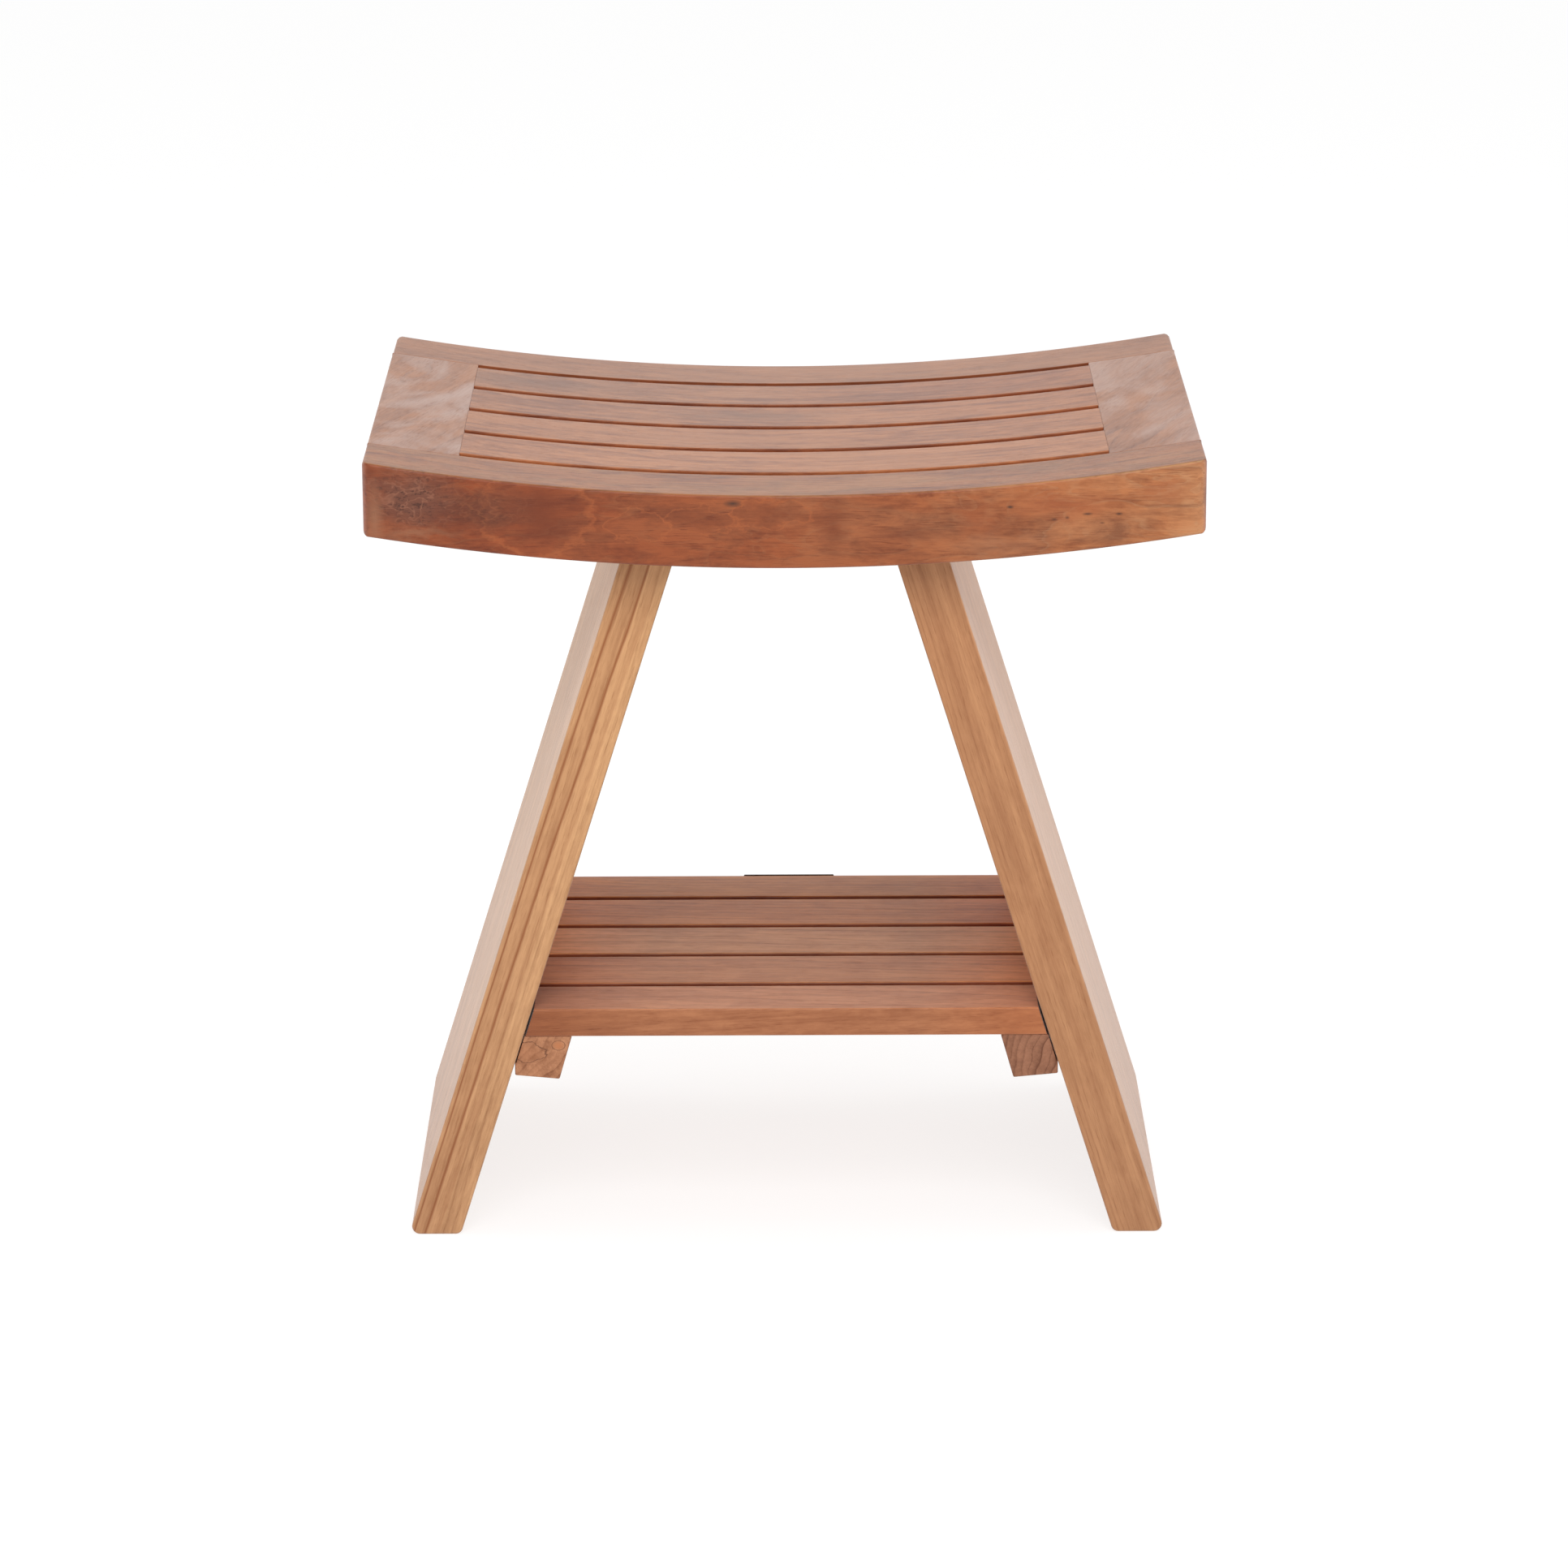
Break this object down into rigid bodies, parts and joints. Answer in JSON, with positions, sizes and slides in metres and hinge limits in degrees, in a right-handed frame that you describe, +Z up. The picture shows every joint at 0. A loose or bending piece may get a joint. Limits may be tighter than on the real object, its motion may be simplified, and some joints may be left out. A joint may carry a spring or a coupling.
{
  "type": "shower stool",
  "caption": "Free-standing teak shower stool: dished slatted seat on leaning solid leg panels, with a slatted shelf between the legs.",
  "frame": {"origin": "on the floor, midway between the feet and between the front and back of the seat", "axes": "+X along the seat to the right, +Y to the back, +Z up"},
  "size_m": [0.457, 0.33, 0.457],
  "materials": {
    "rail_teak": "oiled, reddish brown, figured",
    "end_board_teak": "planed, pale, grain front to back",
    "slat_teak": "planed, pale pinkish tan, straight grain",
    "leg_teak": "planed, tan, grain up the leg",
    "shelf_teak": "planed, pinkish brown",
    "batten_teak": "sawn, end grain at the front",
    "dowel_beech": "plain turned",
    "screw_steel": "stainless",
    "bolt_steel": "stainless",
    "plate_dark": "dark, satin, blank"
  },
  "bodies": {
    "root": {"seat_front_rail": "rail_teak", "seat_back_rail": "rail_teak", "seat_end_left": "end_board_teak", "seat_end_right": "end_board_teak", "seat_slat_1": "slat_teak", "seat_slat_2": "slat_teak", "seat_slat_3": "slat_teak", "seat_slat_4": "slat_teak", "seat_bearer_left": "batten_teak", "seat_bearer_right": "batten_teak", "end_board_dowels": "dowel_beech", "bearer_dowels": "dowel_beech", "bearer_screws": "screw_steel", "leg_left": "leg_teak", "leg_right": "leg_teak", "leg_bolts": "bolt_steel", "leg_washers": "bolt_steel", "leg_barrel_nuts": "bolt_steel", "shelf_slat_1": "shelf_teak", "shelf_slat_2": "shelf_teak", "shelf_slat_3": "shelf_teak", "shelf_slat_4": "shelf_teak", "shelf_slat_5": "shelf_teak", "shelf_cleat_left": "batten_teak", "shelf_cleat_right": "batten_teak", "shelf_slat_screws": "screw_steel", "shelf_cleat_screws": "screw_steel", "label_plate": "plate_dark", "label_pins": "screw_steel"}
  },
  "joints": []
}
